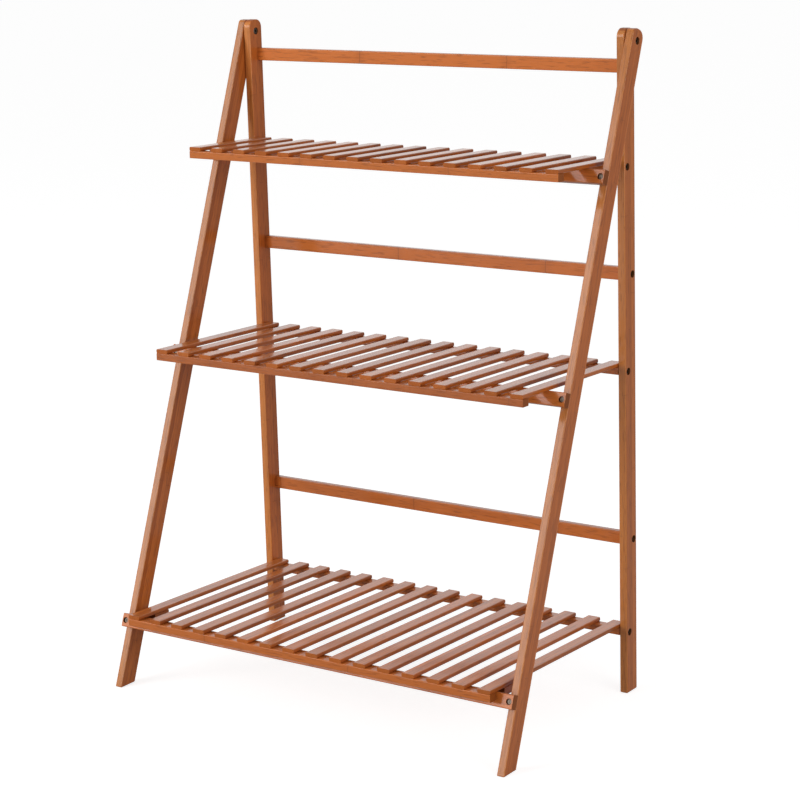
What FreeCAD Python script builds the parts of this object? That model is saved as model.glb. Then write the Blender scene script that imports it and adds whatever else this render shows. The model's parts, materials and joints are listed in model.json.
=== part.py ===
import FreeCAD, Part
import math
import os

from FreeCAD import Placement, Rotation, Vector

# Folding three-tier plant stand in stained bamboo.
# A straight rear frame (two legs, three rails) carries three slatted shelves on pivot screws.
# A front frame (two legs, three cross bars) hangs on two bolts at the leg tops and leans out
# in front. Open, the slats lie on the cross bars. To fold it, each shelf is lifted on its pivots
# until its slats lie against the rail above, and the front frame swings in against the rear one.
# Frame: X across, -Y to the front, +Z up, origin on the floor in the middle of the footprint.

# Overall size, standing open: 685 wide and 960 high, and 390 deep with the front leg tops,
# which stand out a little behind the rear legs
width = 685.0
foot_spread = 388.55
height = 960.0

# Legs
leg_thick = 12.0
leg_wide = 29.0
leg_gap = 1.0
leg_corner = 12.0
leg_ease = 1.2
pivot_drop = 17.5
front_leg_end = 16.5

# Front cross bars, lying flat on the front faces of the front legs
bar_thick = 12.0
bar_high = 20.0
bar_ease = 1.0

# Rear rails, between the rear legs
rail_thick = 10.0
rail_high = 19.0
rail_back = 2.8
rail_above_shelf = 137.5
rail_ease = 1.0

# Shelves
shelf_heights = {"bottom": 92.2, "middle": 479.7}
top_shelf_drop = 190.1
shelf_reaches = {"middle": 264.3, "top": 165.8}
shelf_tilt = 1.7
shelf_side_gap = 0.6
shelf_pivot_back = 20.7
batten_thick = 15.0
batten_high = 11.0
batten_ease = 1.0
slat_count = 16
slat_wide = 20.5
slat_thick = 6.0
slat_ease = 1.3
slat_seat = 0.3
batten_bar_gap = 0.4

# Stop blocks under the outermost slats of the bottom shelf, behind its cross bar
block_long = 32.0
block_high = 11.0
block_behind_bar = 6.5
block_swing_gap = 0.4

# Fasteners
shank_clear = 0.05
head_clear = 0.2
turning_gap = 0.3
leg_recess = 10.0
pivot_recess_deep = 5.5
rail_recess_deep = 5.0
bolt_shank = 6.0
bolt_recess_deep = 5.0
bolt_head_high = 3.0
nut_recess_deep = 4.5
nut_high = 3.6
pivot_shank = 5.0
pivot_bite = 30.0
pivot_head_high = 3.0
rail_shank = 4.0
rail_bite = 30.0
bar_recess = 8.0
bar_recess_deep = 3.5
bar_shank = 3.5
bar_bite = 18.0
wood_head_high = 2.4
shank_sides = 8

# Sizes that follow
shelf_heights["top"] = height - top_shelf_drop
front_leg_out = width / 2
front_leg_in = front_leg_out - leg_thick
rear_leg_out = front_leg_in - leg_gap
rear_leg_in = rear_leg_out - leg_thick
shelf_half = rear_leg_in - shelf_side_gap
foot_to_pivot_y = foot_spread - leg_wide / 2
top_pivot_z = height - pivot_drop
foot_to_pivot = math.sqrt(foot_to_pivot_y ** 2 + top_pivot_z ** 2 - (leg_wide / 2) ** 2)
lean = math.atan2(foot_to_pivot_y, top_pivot_z) - math.atan2(leg_wide / 2, foot_to_pivot)
top_arc_back = (leg_wide - leg_corner) * math.cos(lean)
top_arc_up = (foot_to_pivot + front_leg_end - leg_corner) * math.sin(lean)
depth = max(foot_spread, top_arc_back + top_arc_up + leg_corner)
front_y = -depth / 2
rear_y = front_y + foot_spread
top_pivot_y = rear_y - leg_wide / 2
tilt = math.radians(shelf_tilt)
bar_to_slat = lean - tilt
shelf_pivot_y = rear_y - shelf_pivot_back
slat_pitch = (2 * shelf_half - slat_wide) / (slat_count - 1)
rail_y = rear_y - rail_back - rail_thick / 2
bar_screw_x = front_leg_out - leg_thick / 2

# Front frame: drawn upright with the leg's front face at y = 0 and its front foot edge at z = 0,
# then leaned back about that edge.
front_frame = Placement(Vector(0, front_y, 0), Rotation(Vector(1, 0, 0), -math.degrees(lean)))


def section_reach(half_across, half_up, ease, angle):
    """Reach of a section with planed corners, from its centre, in a direction turned a little from up."""
    return half_up * math.cos(angle) + (half_across - ease) * math.sin(angle)


def bar_station(shelf_height):
    """Height up the leg of the cross bar whose top edge carries the slats of this shelf."""
    under_slat = shelf_pivot_y * math.sin(tilt) + shelf_height * math.cos(tilt) + batten_high / 2
    bar_reach = section_reach(bar_thick / 2, bar_high / 2, bar_ease, bar_to_slat)
    foot_part = front_y * math.sin(tilt) + bar_thick / 2 * math.sin(bar_to_slat)
    return (under_slat - bar_reach - slat_seat - foot_part) / math.cos(bar_to_slat)


def locked_reach(shelf_height):
    """Reach of the bottom shelf, whose front batten drops in just ahead of its cross bar."""
    batten_reach = section_reach(batten_high / 2, batten_thick / 2, batten_ease, bar_to_slat)
    pivot_behind_leg = (shelf_pivot_y - front_y) * math.cos(lean) - shelf_height * math.sin(lean)
    batten_y = -(bar_thick + batten_reach + batten_bar_gap + pivot_behind_leg) / math.cos(bar_to_slat)
    return batten_thick / 2 - batten_y


def eased_box(x0, x1, y0, y1, z0, z1, ease, axis):
    """Straight piece of wood with its four long edges planed off."""
    box = Part.makeBox(x1 - x0, y1 - y0, z1 - z0, Vector(x0, y0, z0))
    long_edges = [edge for edge in box.Edges if abs(edge.tangentAt(edge.FirstParameter).dot(axis)) > 0.9]
    return box.makeChamfer(ease, long_edges)


def rod(radius, start, end):
    """Round rod between two points."""
    along = end - start
    return Part.makeCylinder(radius, along.Length, start, along)


def both_sides(shape):
    """The right-hand solid and its mirror image on the left."""
    return [shape, shape.mirror(Vector(0, 0, 0), Vector(1, 0, 0))]


def prism(radius, z0, z1):
    """Hidden shank of a screw or bolt, or the pilot hole around it, drawn with a few flat sides."""
    corners = []
    for side in range(shank_sides + 1):
        angle = 2 * math.pi * side / shank_sides
        corners.append(Vector(radius * math.cos(angle), radius * math.sin(angle), z0))
    return Part.Face(Part.makePolygon(corners)).extrude(Vector(0, 0, z1 - z0))


def wood_screw(head_wide, shank_wide, length):
    """Countersunk screw along +Z, seated on its cone at z = 0."""
    cone_foot = head_wide / 2 - wood_head_high
    cone = Part.makeCone(head_wide / 2, cone_foot, wood_head_high, Vector(0, 0, -wood_head_high))
    return cone.fuse(prism(shank_wide / 2, 0.0, length))


def wood_hole(recess_wide, recess_deep, shank_wide, length):
    """Recess that opens toward -Z above z = 0, and the pilot hole below it."""
    recess = Part.makeCylinder(recess_wide / 2, recess_deep, Vector(0, 0, -recess_deep))
    return recess.fuse(prism(shank_wide / 2 + shank_clear, 0.0, length))


def pan_screw(head_wide, head_high, shank_wide, length):
    """Screw or bolt along +Z with a flat-seated head on the far side of z = 0."""
    head = Part.makeCylinder(head_wide / 2, head_high, Vector(0, 0, -head_high))
    return head.fuse(prism(shank_wide / 2, 0.0, length))


def turning_hole(recess_wide, recess_deep, shank_wide, length):
    """Recess that opens toward -Z above z = 0, and the round bore below it."""
    recess = Part.makeCylinder(recess_wide / 2, recess_deep, Vector(0, 0, -recess_deep))
    return recess.fuse(Part.makeCylinder(shank_wide / 2 + shank_clear, length))


def placed(shape, point, direction):
    """Copy of a shape drawn along +Z, put at a point and turned to a direction."""
    copy = shape.copy()
    copy.Placement = Placement(point, Rotation(Vector(0, 0, 1), direction))
    return copy


def leg_blank(y0, y1, foot_z0, foot_z1, top_z, x0):
    """Leg with a flat foot, rounded top corners and eased long edges."""
    side = math.sqrt(0.5) * leg_corner
    low = top_z - leg_corner
    mid = low + side
    top_y0 = y0 + leg_corner
    top_y1 = y1 - leg_corner
    front_arc = Part.Arc(Vector(x0, y0, low), Vector(x0, top_y0 - side, mid), Vector(x0, top_y0, top_z))
    rear_arc = Part.Arc(Vector(x0, top_y1, top_z), Vector(x0, top_y1 + side, mid), Vector(x0, y1, low))
    outline = [
        Part.makeLine(Vector(x0, y0, foot_z0), Vector(x0, y0, low)),
        front_arc.toShape(),
        Part.makeLine(Vector(x0, top_y0, top_z), Vector(x0, top_y1, top_z)),
        rear_arc.toShape(),
        Part.makeLine(Vector(x0, y1, low), Vector(x0, y1, foot_z1)),
        Part.makeLine(Vector(x0, y1, foot_z1), Vector(x0, y0, foot_z0)),
    ]
    leg = Part.Face(Part.Wire(outline)).extrude(Vector(leg_thick, 0, 0))
    foot_limit = max(foot_z0, foot_z1) + leg_corner
    rim = []
    for edge in leg.Edges:
        box = edge.BoundBox
        if box.XLength < leg_thick / 2 and box.ZMax > foot_limit:
            rim.append(edge)
    return leg.makeChamfer(leg_ease, rim)


def export(name, solids):
    """Write one named sub-part, a single solid or a group of like ones."""
    shape = solids[0] if len(solids) == 1 else Part.makeCompound(solids)
    shape.exportStep(os.path.join("parts", name + ".step"))


os.makedirs("parts", exist_ok=True)
inward = Vector(-1, 0, 0)
leg_head_wide = leg_recess - 2 * head_clear

# Rear frame: legs
rear_leg = leg_blank(rear_y - leg_wide, rear_y, 0.0, 0.0, height, rear_leg_in)
rail_floor_x = rear_leg_out - rail_recess_deep
rail_screw_long = rail_floor_x - rear_leg_in + rail_bite
rail_hole = wood_hole(leg_recess, rail_recess_deep, rail_shank, rail_screw_long + turning_gap)
pivot_floor_x = rear_leg_out - pivot_recess_deep
pivot_screw_long = pivot_floor_x + turning_gap - shelf_half + pivot_bite
pivot_hole = turning_hole(leg_recess, pivot_recess_deep, pivot_shank, pivot_screw_long + turning_gap)
rail_points = {}
pivot_points = {}
for shelf, shelf_height in shelf_heights.items():
    rail_points[shelf] = Vector(rail_floor_x, rail_y, shelf_height + rail_above_shelf)
    pivot_points[shelf] = Vector(pivot_floor_x, shelf_pivot_y, shelf_height)
    rear_leg = rear_leg.cut(placed(rail_hole, rail_points[shelf], inward))
    rear_leg = rear_leg.cut(placed(pivot_hole, pivot_points[shelf], inward))
nut_floor_x = rear_leg_in + nut_recess_deep
top_pivot_in = Vector(rear_leg_in, top_pivot_y, top_pivot_z)
rear_leg = rear_leg.cut(rod(leg_recess / 2, top_pivot_in, Vector(nut_floor_x, top_pivot_y, top_pivot_z)))
bolt_bore = rod(bolt_shank / 2 + shank_clear, top_pivot_in, Vector(front_leg_out, top_pivot_y, top_pivot_z))
rear_leg = rear_leg.cut(bolt_bore)
rear_right_leg, rear_left_leg = both_sides(rear_leg)
export("rear_right_leg", [rear_right_leg])
export("rear_left_leg", [rear_left_leg])

# Rear frame: rails and their screws
rail_screw = wood_screw(leg_head_wide, rail_shank, rail_screw_long)
rail_screws = []
rail_names = {"bottom": "lower_rail", "middle": "middle_rail", "top": "upper_rail"}
for shelf, name in rail_names.items():
    centre_z = rail_points[shelf].z
    z0 = centre_z - rail_high / 2
    z1 = centre_z + rail_high / 2
    y0 = rail_y - rail_thick / 2
    y1 = rail_y + rail_thick / 2
    rail = eased_box(-rear_leg_in, rear_leg_in, y0, y1, z0, z1, rail_ease, Vector(1, 0, 0))
    for hole in both_sides(placed(rail_hole, rail_points[shelf], inward)):
        rail = rail.cut(hole)
    export(name, [rail])
    rail_screws += both_sides(placed(rail_screw, rail_points[shelf], inward))
export("rail_screws", rail_screws)

# Front frame: legs, drawn upright
front_leg_top = foot_to_pivot + front_leg_end
heel_z = leg_wide * math.tan(lean)
front_leg = leg_blank(0.0, leg_wide, 0.0, heel_z, front_leg_top, front_leg_in)
bolt_floor_x = front_leg_out - bolt_recess_deep
leg_pivot_y = leg_wide / 2
bolt_seat = Vector(bolt_floor_x, leg_pivot_y, foot_to_pivot)
bolt_face = Vector(front_leg_out, leg_pivot_y, foot_to_pivot)
bolt_end = Vector(rear_leg_in + nut_recess_deep - turning_gap, leg_pivot_y, foot_to_pivot)
front_leg = front_leg.cut(rod(leg_recess / 2, bolt_seat, bolt_face))
front_leg = front_leg.cut(rod(bolt_shank / 2 + shank_clear, bolt_end, bolt_seat))
bar_stations = {shelf: bar_station(z) for shelf, z in shelf_heights.items()}
bar_floor_y = bar_recess_deep - bar_thick
bar_screw_long = -bar_floor_y + bar_bite
bar_hole = wood_hole(bar_recess, bar_recess_deep, bar_shank, bar_screw_long + turning_gap)
bar_screw = wood_screw(bar_recess - 2 * head_clear, bar_shank, bar_screw_long)
backward = Vector(0, 1, 0)
bar_points = {shelf: Vector(bar_screw_x, bar_floor_y, station) for shelf, station in bar_stations.items()}
for point in bar_points.values():
    front_leg = front_leg.cut(placed(bar_hole, point, backward))

# Front frame: cross bars, their screws, and the top pivot bolts with their cap nuts
bar_names = {"bottom": "lower_bar", "middle": "middle_bar", "top": "upper_bar"}
front_group = {"front_right_leg": [front_leg]}
front_group["front_left_leg"] = [both_sides(front_leg)[1]]
bar_screws = []
for shelf, name in bar_names.items():
    z0 = bar_stations[shelf] - bar_high / 2
    z1 = bar_stations[shelf] + bar_high / 2
    bar = eased_box(-front_leg_out, front_leg_out, -bar_thick, 0.0, z0, z1, bar_ease, Vector(1, 0, 0))
    for hole in both_sides(placed(bar_hole, bar_points[shelf], backward)):
        bar = bar.cut(hole)
    front_group[name] = [bar]
    bar_screws += both_sides(placed(bar_screw, bar_points[shelf], backward))
front_group["bar_screws"] = bar_screws
bolt = pan_screw(leg_head_wide, bolt_head_high, bolt_shank, bolt_floor_x - bolt_end.x)
front_group["top_pivot_bolts"] = both_sides(placed(bolt, bolt_seat, inward))
nut = rod(leg_head_wide / 2, bolt_end - Vector(nut_high, 0, 0), bolt_end)
front_group["top_pivot_nuts"] = both_sides(nut)
for name, solids in front_group.items():
    leaned = []
    for solid in solids:
        copy = solid.copy()
        copy.Placement = front_frame.multiply(copy.Placement)
        leaned.append(copy)
    export(name, leaned)


def shelf_blocks(shelf_height, shelf):
    """Stop blocks, their lower front corner planed to the bar's top face so that it swings clear."""
    bar_up = math.cos(lean) * bar_stations[shelf] + bar_thick / 2 * math.sin(lean) - shelf_height
    bar_along = front_y + math.sin(lean) * bar_stations[shelf] - shelf_pivot_y
    bar_along -= bar_thick / 2 * math.cos(lean)
    bar_y = bar_along * math.cos(tilt) - bar_up * math.sin(tilt)
    bar_z = bar_along * math.sin(tilt) + bar_up * math.cos(tilt)
    corner_y = bar_y + bar_thick / 2 * math.cos(bar_to_slat) + bar_high / 2 * math.sin(bar_to_slat)
    corner_z = bar_z - bar_thick / 2 * math.sin(bar_to_slat) + bar_high / 2 * math.cos(bar_to_slat)
    top_z = batten_high / 2
    low_z = top_z - block_high
    nose_y = corner_y + block_behind_bar
    slope = math.tan(bar_to_slat)
    nose_z = corner_z + block_swing_gap / math.cos(bar_to_slat) - block_behind_bar * slope
    knee_y = nose_y + (nose_z - low_z) / slope
    tail_y = nose_y + block_long
    x1 = shelf_half - slat_wide
    corners = [
        Vector(x1, nose_y, top_z),
        Vector(x1, nose_y, nose_z),
        Vector(x1, knee_y, low_z),
        Vector(x1, tail_y, low_z),
        Vector(x1, tail_y, top_z),
        Vector(x1, nose_y, top_z),
    ]
    return both_sides(Part.Face(Part.makePolygon(corners)).extrude(Vector(slat_wide, 0, 0)))


# Shelves, drawn flat about their pivot line and then tilted front edge up
pivot_screw = pan_screw(leg_head_wide, pivot_head_high, pivot_shank, pivot_screw_long)
for shelf, shelf_height in shelf_heights.items():
    reach = locked_reach(shelf_height) if shelf == "bottom" else shelf_reaches[shelf]
    low = -batten_high / 2
    high = batten_high / 2
    near = -reach
    far = batten_thick / 2
    across = Vector(1, 0, 0)
    rear_batten = eased_box(-shelf_half, shelf_half, far - batten_thick, far, low, high, batten_ease, across)
    seat = Vector(pivot_floor_x + turning_gap, 0, 0)
    pilot = prism(pivot_shank / 2 + shank_clear, 0.0, pivot_screw_long + turning_gap)
    for hole in both_sides(placed(pilot, seat, inward)):
        rear_batten = rear_batten.cut(hole)
    rear_face = near + batten_thick
    front_batten = eased_box(-shelf_half, shelf_half, near, rear_face, low, high, batten_ease, across)
    group = {"rear_batten": [rear_batten], "front_batten": [front_batten]}
    group["pivot_screws"] = both_sides(placed(pivot_screw, seat, inward))
    for pair in range(slat_count // 2):
        x1 = shelf_half - pair * slat_pitch
        slat = eased_box(x1 - slat_wide, x1, near, far, high, high + slat_thick, slat_ease, Vector(0, 1, 0))
        group["slat_pair_%d" % (pair + 1)] = both_sides(slat)
    if shelf == "bottom":
        group["stop_blocks"] = shelf_blocks(shelf_height, shelf)
    hung = Placement(Vector(0, shelf_pivot_y, shelf_height), Rotation(Vector(1, 0, 0), -shelf_tilt))
    for name, solids in group.items():
        tilted = []
        for solid in solids:
            copy = solid.copy()
            copy.Placement = hung.multiply(copy.Placement)
            tilted.append(copy)
        export(shelf + "_" + name, tilted)
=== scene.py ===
import json
import math
import random

import bmesh
import bpy
from bpy.props import FloatProperty, FloatVectorProperty, IntProperty, PointerProperty
from mathutils import Matrix, Vector


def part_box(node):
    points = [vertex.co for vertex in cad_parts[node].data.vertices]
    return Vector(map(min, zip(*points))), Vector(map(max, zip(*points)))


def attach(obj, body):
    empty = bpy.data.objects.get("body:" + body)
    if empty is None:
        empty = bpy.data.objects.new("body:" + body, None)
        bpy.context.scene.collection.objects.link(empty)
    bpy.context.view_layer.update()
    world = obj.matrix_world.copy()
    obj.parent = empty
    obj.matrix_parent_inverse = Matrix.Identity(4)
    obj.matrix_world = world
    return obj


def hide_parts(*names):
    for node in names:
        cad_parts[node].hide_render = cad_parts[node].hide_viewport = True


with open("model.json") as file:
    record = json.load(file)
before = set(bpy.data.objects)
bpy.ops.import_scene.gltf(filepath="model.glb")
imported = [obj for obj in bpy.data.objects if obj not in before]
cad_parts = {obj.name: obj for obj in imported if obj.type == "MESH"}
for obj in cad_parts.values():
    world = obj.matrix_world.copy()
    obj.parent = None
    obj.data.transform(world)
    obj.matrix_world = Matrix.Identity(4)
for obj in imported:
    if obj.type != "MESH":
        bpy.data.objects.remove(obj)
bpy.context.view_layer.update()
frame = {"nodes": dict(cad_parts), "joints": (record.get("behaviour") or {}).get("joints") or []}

bl_info = {
    "name": "Folding Plant Stand",
    "version": (1, 0, 0),
    "blender": (4, 5, 0),
    "location": "View3D > Sidebar > Plant Stand",
    "description": "Dresses the folding three-tier plant stand in stained bamboo",
    "category": "Add Mesh",
}

SHELVES = ("bottom", "middle", "top")
RAILS = {"lower_rail": "bottom", "middle_rail": "middle", "upper_rail": "top"}
BARS = ("lower_bar", "middle_bar", "upper_bar")
SLAT_PAIRS = 8

# Axes of a straight piece, before it is leaned or tilted into its place
ACROSS, OUTWARD, UPRIGHT = 0, 1, 2

# Places and sizes read from the frame
JOINT_AT = {joint["name"]: Vector(joint["pos_m"]) for joint in frame["joints"]}
TOP_PIVOT = JOINT_AT["front_frame_fold"]
SHELF_PIVOT = {shelf: JOINT_AT[shelf + "_shelf_lift"] for shelf in SHELVES}
REAR_LEG_LOW, REAR_LEG_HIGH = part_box("rear_right_leg")
FRONT_LEG_LOW, FRONT_LEG_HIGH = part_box("front_right_leg")
LEG_WIDE = REAR_LEG_HIGH.y - REAR_LEG_LOW.y
LEG_RISE = math.hypot(TOP_PIVOT.y - FRONT_LEG_LOW.y, TOP_PIVOT.z)
FRONT_LEAN = math.atan2(TOP_PIVOT.y - FRONT_LEG_LOW.y, TOP_PIVOT.z) - math.asin(LEG_WIDE / 2 / LEG_RISE)

# Strips across and through each kind of piece, how much its nodes show, the factor on its narrow faces
# (painted sheen on the legs, painted shade on the slats) and the tone of its sawn ends, beside its wide
# faces
# Painted sheen: the legs' narrow faces are lifted pale and pink, standing in for the soft lamp's reflection
LEG_GRAIN = {"strips": (3.4, 2), "nodes": 0.4, "edge_sheen_and_shade": (1.24, 1.62, 2.2), "end_tone": 0.8}
RAIL_GRAIN = {"strips": (1, 2), "nodes": 1.0, "edge_sheen_and_shade": (1, 1, 1), "end_tone": 0.8}
BAR_GRAIN = {"strips": (1, 2), "nodes": 1.0, "edge_sheen_and_shade": (1, 1, 1), "end_tone": 0.45}
BATTEN_GRAIN = {"strips": (2, 1), "nodes": 0.7, "edge_sheen_and_shade": (1, 1, 1), "end_tone": 0.55}
# Painted shade: the slats' narrow sides are darkened, standing in for the shade between the slats
SLAT_GRAIN = {"strips": (2.6, 1), "nodes": 0.4, "edge_sheen_and_shade": (0.85, 0.8, 0.75), "end_tone": 0.9}
BLOCK_GRAIN = {"strips": (2, 1), "nodes": 0.4, "edge_sheen_and_shade": (1, 1, 1), "end_tone": 0.55}

# Random seeds of each kind of piece count from here
SEED = {
    "rear_legs": 11, "rails": 20, "front_legs": 31, "bars": 40, "battens": 50, "blocks": 70, "slats": 100,
}

# How far into the grain a piece can start, in metres along, across and through, and how many
# strips it chooses its first one from. Its far face stays just short of the next strip
GRAIN_REACH = (9, 0.5, 0.5)
STRIP_CHOICE = 500
SHORT_OF_NEXT = 0.999
# How a warmer piece gains red and loses blue
WARM_RED = 0.3
WARM_BLUE = -0.6

# Noise cells per metre in the bamboo, along the grain and across it
WAVE_CELLS = (90.0, 90.0)
FIBRE_CELLS = (9.0, 900.0)
STREAK_CELLS = (3.0, 260.0)
FLECK_CELLS = (42.0, 480.0)
BLOTCH_CELLS = (11.0, 11.0)
PORE_CELLS = 1500.0
# How far a node's line wanders, and the distances over which the line and its halo fade, in metres
NODE_BOW = 0.004
NODE_LINE = (0.0002, 0.0012)
NODE_HALO = (0.001, 0.014)
# Share of a strip over which its glue line fades, and the noise levels of flecks and pores
GLUE_LINE = (0.0, 0.04)
FLECK_LEVEL = (0.54, 0.7)
PORE_LEVEL = (0.12, 0.5)
# Where the stain's depth starts, how far each layer moves it from dark to light, how dark each
# mark is, how far each layer stands out, the roughness, and the share of the varnish
SIDE_FIGURE = {
    "start": -0.545,
    "depth": {"strip": 0.7, "fibre": 0.7, "streak": 0.65, "blotch": 0.5},
    "marks": {"fleck": 0.34, "node_halo": 0.12, "node_line": 0.42, "glue_line": 0.22},
    "height": {"fibre": 0.6, "streak": 0.8, "glue_line": -0.5, "node_line": -0.6},
    "rough": 0.3,
    "varnish": 1.0,
}
END_FIGURE = {
    "start": -0.18,
    "depth": {"pores": 0.4, "strip": 0.15, "blotch": 0.5},
    "marks": {},
    "height": {"fibre": 0.6, "streak": 0.8},
    "rough": 0.5,
    "varnish": 0.4,
}
# How much the fibres roughen the varnish
FIBRE_ROUGH = 0.16
# Noise levels over which the steel turns from dull to bright, how bright its dull patches are,
# and its least roughness, which the patches can double
STEEL_PATCH = (0.35, 0.65)
STEEL_DULL = 0.7
STEEL_ROUGH = 0.2

# Cross-head wood screws, in metres
RAIL_SCREW = {"head_wide": 0.0074, "head_high": 0.0016, "shank_wide": 0.004, "length": 0.03}
BAR_SCREW = {"head_wide": 0.0064, "head_high": 0.0014, "shank_wide": 0.0035, "length": 0.02}
# Socket-head bolts, in metres. Their heads are as wide as their recesses allow
BOLT_HEAD_HIGH = 0.003
PIVOT_SHANK = {"shank_wide": 0.005, "length": 0.036}
TOP_SHANK_WIDE = 0.006
NUT_STUB = {"shank_wide": 0.005, "length": 0.0002}
# Share of its height that a head's rim is rounded by, and how far a countersunk head's foot
# stands out from its shank
FLAT_RIM = 0.08
BUTTON_RIM = 0.42
FOOT_STEP = 0.0002
# Sizes of the socket and of the cross's blades, how much a blade's bottom narrows, and the
# height of their cutters as a share of the head's height, half of it outside the head
SOCKET_RADIUS = 0.0023
BLADE_LONG = 0.0048
BLADE_WIDE = 0.001
BLADE_BOTTOM = (0.45, 0.6, 1)
CUTTER_HIGH = 1.1

# Corners this near to a plane lie in it, in metres
TOUCHING = 1e-4
# Least cosine between a face's normal and an axis for a flat face, a sawn end and a narrow face
FLAT_ON = 0.9
END_ON = 0.8
EDGE_ON = 0.7
# Edges that turn by less than this stay smooth
SMOOTH_ANGLE = math.radians(32)

# Each lamp's place and width in metres, and whether the varnish mirrors it. Its power is a
# setting of PlantStandStage
LAMPS = {
    "key": {"place": (-2.4, -3.5, 1.2), "wide": 2.6, "mirrored": False},
    "sheen": {"place": (-2.25, -3.3, 2.0), "wide": 2.3, "mirrored": True},
    "fill": {"place": (3.6, -0.8, 1.3), "wide": 2.4, "mirrored": True},
}
LAMP_AIM = Vector((0, 0, 0.45))
# Cosine to the camera's heading over which the mirrored backdrop turns white
BACKDROP_EDGE = (0.4, 0.75)


class PlantStandSizes(bpy.types.PropertyGroup):
    """Sizes of the finished edges, recesses and screw heads."""

    lean: FloatProperty(
        name="Front lean", description="Lean of the front frame from upright",
        default=FRONT_LEAN, subtype="ANGLE")
    tilt: FloatProperty(
        name="Shelf tilt", description="Rise of the shelves toward the front",
        default=math.radians(1.7), subtype="ANGLE")
    leg_corner: FloatProperty(
        name="Leg corner", description="Radius of the rear legs' rounded tops",
        default=0.012, subtype="DISTANCE")
    front_corner: FloatProperty(
        name="Front corner", description="Radius at the front of the front legs' levelled tops",
        default=0.004, subtype="DISTANCE")
    back_corner: FloatProperty(
        name="Back corner", description="Radius at the back of the front legs' tops",
        default=0.0124, subtype="DISTANCE")
    leg_edge: FloatProperty(
        name="Leg edge", description="Rounding of the legs' long edges",
        default=0.0014, subtype="DISTANCE")
    bar_edge: FloatProperty(
        name="Bar edge", description="Rounding of the bars' and rails' long edges",
        default=0.0014, subtype="DISTANCE")
    batten_edge: FloatProperty(
        name="Batten edge", description="Rounding of the shelf battens' long edges",
        default=0.0012, subtype="DISTANCE")
    slat_edge: FloatProperty(
        name="Slat edge", description="Rounding of the slats' long edges",
        default=0.0019, subtype="DISTANCE")
    block_edge: FloatProperty(
        name="Block edge", description="Rounding of all the stop blocks' edges",
        default=0.0006, subtype="DISTANCE")
    sawn_edge: FloatProperty(
        name="Sawn edge", description="Easing of the sawn ends",
        default=0.0004, subtype="DISTANCE")
    recess_lip: FloatProperty(
        name="Recess lip", description="Easing around the mouth of a drilled recess",
        default=0.0004, subtype="DISTANCE")
    leg_recess: FloatProperty(
        name="Leg recess", description="Radius of the recesses in the legs",
        default=0.005, subtype="DISTANCE")
    bar_recess: FloatProperty(
        name="Bar recess", description="Radius of the recesses in the cross bars",
        default=0.004, subtype="DISTANCE")
    head_gap: FloatProperty(
        name="Head gap", description="Gap on each side of a bolt's head in its recess",
        default=0.0002, subtype="DISTANCE")
    pivot_recess_deep: FloatProperty(
        name="Pivot recess depth", description="Depth of the recesses over the shelf pivots",
        default=0.0055, subtype="DISTANCE")
    rail_recess_deep: FloatProperty(
        name="Rail recess depth", description="Depth of the recesses over the rail screws and top bolts",
        default=0.005, subtype="DISTANCE")
    nut_recess_deep: FloatProperty(
        name="Nut recess depth", description="Depth of the recesses around the cap nuts",
        default=0.0045, subtype="DISTANCE")
    bar_recess_deep: FloatProperty(
        name="Bar recess depth", description="Depth of the recesses at the bar ends",
        default=0.0035, subtype="DISTANCE")
    round_steps: IntProperty(
        name="Rounding steps", description="Facets across a rounded edge",
        default=4, min=1, max=8)


class PlantStandFinish(bpy.types.PropertyGroup):
    """Colours and grain of the stained bamboo and the steel."""

    stain_light: FloatVectorProperty(
        name="Light stain", description="Stain over the pale strips",
        default=(0.64, 0.178, 0.032), size=3, subtype="COLOR", min=0, max=1)
    stain_dark: FloatVectorProperty(
        name="Dark stain", description="Stain over the dense strips",
        default=(0.36, 0.086, 0.014), size=3, subtype="COLOR", min=0, max=1)
    node_stain: FloatVectorProperty(
        name="Node stain", description="Stain caught in the bamboo's nodes, flecks and glue lines",
        default=(0.13, 0.032, 0.009), size=3, subtype="COLOR", min=0, max=1)
    node_apart: FloatProperty(
        name="Node spacing", description="Distance between a strip's nodes",
        default=0.256, subtype="DISTANCE")
    # Painted shade: the recess walls keep only this share of the stain's brightness, standing in for the
    # shade inside the holes
    recess_painted_shade: FloatProperty(
        name="Recess shade", description="How much of the stain's brightness the drilled recesses keep",
        default=0.3, subtype="FACTOR", min=0, max=1)
    varnish: FloatProperty(
        name="Varnish", description="Weight of the clear varnish",
        default=0.8, subtype="FACTOR", min=0, max=1)
    tone_spread: FloatProperty(
        name="Tone spread", description="How far the pieces differ in tone",
        default=0.1, subtype="FACTOR", min=0, max=1)
    steel: FloatVectorProperty(
        name="Steel", description="Plated steel of the screws, bolts and nuts",
        default=(0.19, 0.15, 0.12), size=3, subtype="COLOR", min=0, max=1)


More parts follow.
